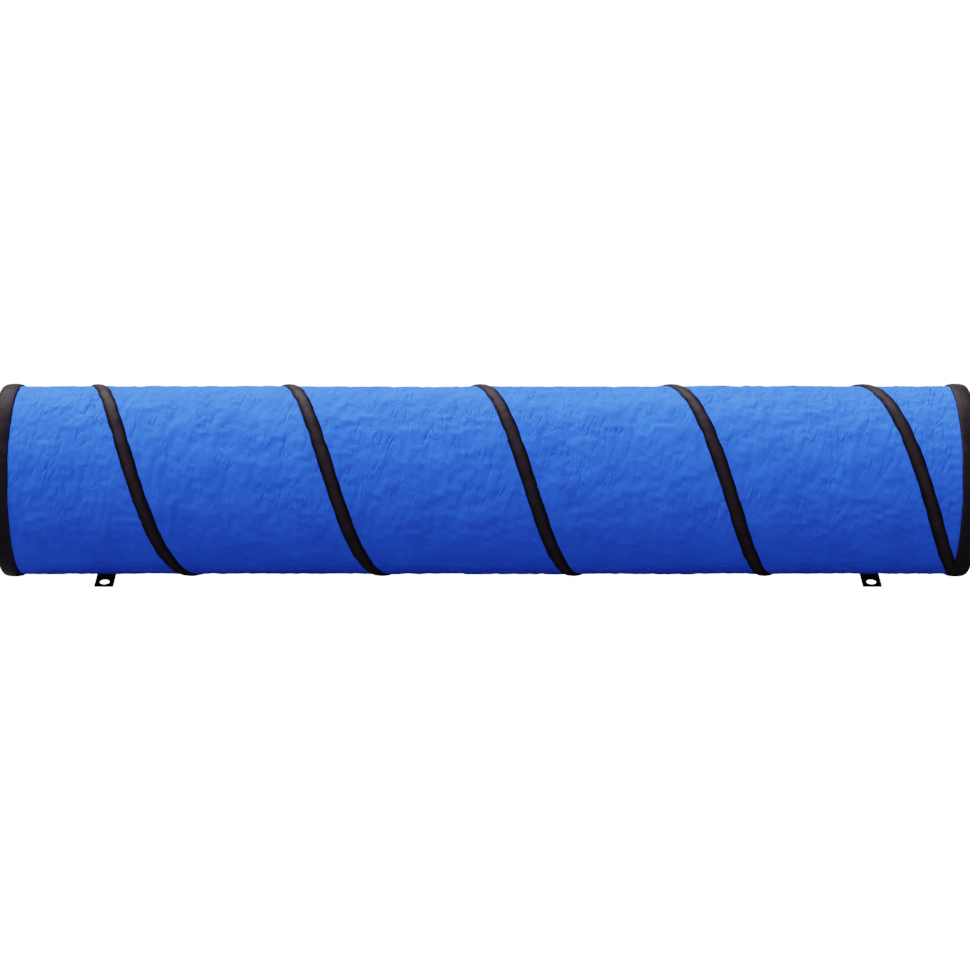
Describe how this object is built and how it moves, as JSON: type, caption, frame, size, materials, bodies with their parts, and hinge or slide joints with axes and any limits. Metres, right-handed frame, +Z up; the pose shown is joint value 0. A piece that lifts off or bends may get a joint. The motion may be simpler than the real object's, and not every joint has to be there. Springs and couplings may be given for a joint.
{
  "type": "agility tunnel",
  "caption": "Dog agility tunnel: a fabric tube on a sleeved spring coil, with bound ring mouths and punched peg tabs. It collapses end to end like a concertina.",
  "frame": {"origin": "on the floor, under the middle of the tunnel, half way along it", "axes": "+X along the tunnel from its entry to its exit, +Y towards its rear side, +Z up"},
  "size_m": [3, 0.607, 0.6071],
  "materials": {
    "blue_nylon": "satin",
    "black_nylon": "satin",
    "black_webbing": "matte",
    "spring_steel": "satin",
    "crimp_steel": "satin"
  },
  "bodies": {
    "entry_end": {"entry_binding": "black_nylon", "entry_ring_wire": "spring_steel", "entry_crimp": "crimp_steel", "entry_gore": "blue_nylon"},
    "turn_1": {"coil_wire_1": "spring_steel", "coil_sleeve_1": "black_nylon", "fabric_panel_1": "blue_nylon", "entry_strap": "black_webbing"},
    "turn_2": {"coil_wire_2": "spring_steel", "coil_sleeve_2": "black_nylon", "fabric_panel_2": "blue_nylon"},
    "turn_3": {"coil_wire_3": "spring_steel", "coil_sleeve_3": "black_nylon", "fabric_panel_3": "blue_nylon"},
    "turn_4": {"coil_wire_4": "spring_steel", "coil_sleeve_4": "black_nylon", "fabric_panel_4": "blue_nylon"},
    "turn_5": {"coil_wire_5": "spring_steel", "coil_sleeve_5": "black_nylon", "exit_strap": "black_webbing"},
    "exit_end": {"exit_binding": "black_nylon", "exit_ring_wire": "spring_steel", "exit_crimp": "crimp_steel", "exit_gore": "blue_nylon"},
    "front_entry_tab": {"front_entry_tab": "black_webbing"},
    "rear_entry_tab": {"rear_entry_tab": "black_webbing"},
    "front_exit_tab": {"front_exit_tab": "black_webbing"},
    "rear_exit_tab": {"rear_exit_tab": "black_webbing"}
  },
  "joints": [
    {"name": "exit_end_slide", "type": "slide", "parent": "entry_end", "child": "exit_end", "axis": [1, 0, 0], "range_m": [-2.834, 0], "stiffness_N_per_m": 8, "deforming": ["entry_gore", "exit_gore"]},
    {"name": "turn_1_slide", "type": "slide", "parent": "entry_end", "child": "turn_1", "axis": [1, 0, 0], "range_m": [-0.265, 0], "deforming": ["coil_wire_1", "coil_sleeve_1", "fabric_panel_1", "entry_strap"]},
    {"name": "turn_2_slide", "type": "slide", "parent": "entry_end", "child": "turn_2", "axis": [1, 0, 0], "range_m": [-0.8583, 0], "deforming": ["coil_wire_2", "coil_sleeve_2", "fabric_panel_2"]},
    {"name": "turn_3_slide", "type": "slide", "parent": "entry_end", "child": "turn_3", "axis": [1, 0, 0], "range_m": [-1.4341, 0], "deforming": ["coil_wire_3", "coil_sleeve_3", "fabric_panel_3"]},
    {"name": "turn_4_slide", "type": "slide", "parent": "entry_end", "child": "turn_4", "axis": [1, 0, 0], "range_m": [-2.0098, 0], "deforming": ["coil_wire_4", "coil_sleeve_4", "fabric_panel_4"]},
    {"name": "turn_5_slide", "type": "slide", "parent": "entry_end", "child": "turn_5", "axis": [1, 0, 0], "range_m": [-2.5882, 0], "deforming": ["coil_wire_5", "coil_sleeve_5", "exit_strap"]},
    {"name": "front_entry_tab_hinge", "type": "hinge", "parent": "turn_1", "child": "front_entry_tab", "pos_m": [-1.198, -0.056, 0], "axis": [-1, 0, 0], "range_deg": [-90, 15], "stiffness_Nm_per_rad": 0.01},
    {"name": "rear_entry_tab_hinge", "type": "hinge", "parent": "turn_1", "child": "rear_entry_tab", "pos_m": [-1.198, 0.056, 0], "axis": [1, 0, 0], "range_deg": [-90, 15], "stiffness_Nm_per_rad": 0.01},
    {"name": "front_exit_tab_hinge", "type": "hinge", "parent": "turn_5", "child": "front_exit_tab", "pos_m": [1.217, -0.056, 0], "axis": [-1, 0, 0], "range_deg": [-90, 15], "stiffness_Nm_per_rad": 0.01},
    {"name": "rear_exit_tab_hinge", "type": "hinge", "parent": "turn_5", "child": "rear_exit_tab", "pos_m": [1.217, 0.056, 0], "axis": [1, 0, 0], "range_deg": [-90, 15], "stiffness_Nm_per_rad": 0.01}
  ],
  "couplings": [
    {"joint": "turn_1_slide", "follows": "exit_end_slide", "ratio": 0.093347},
    {"joint": "turn_2_slide", "follows": "exit_end_slide", "ratio": 0.3027},
    {"joint": "turn_3_slide", "follows": "exit_end_slide", "ratio": 0.50586},
    {"joint": "turn_4_slide", "follows": "exit_end_slide", "ratio": 0.70901},
    {"joint": "turn_5_slide", "follows": "exit_end_slide", "ratio": 0.9131}
  ]
}
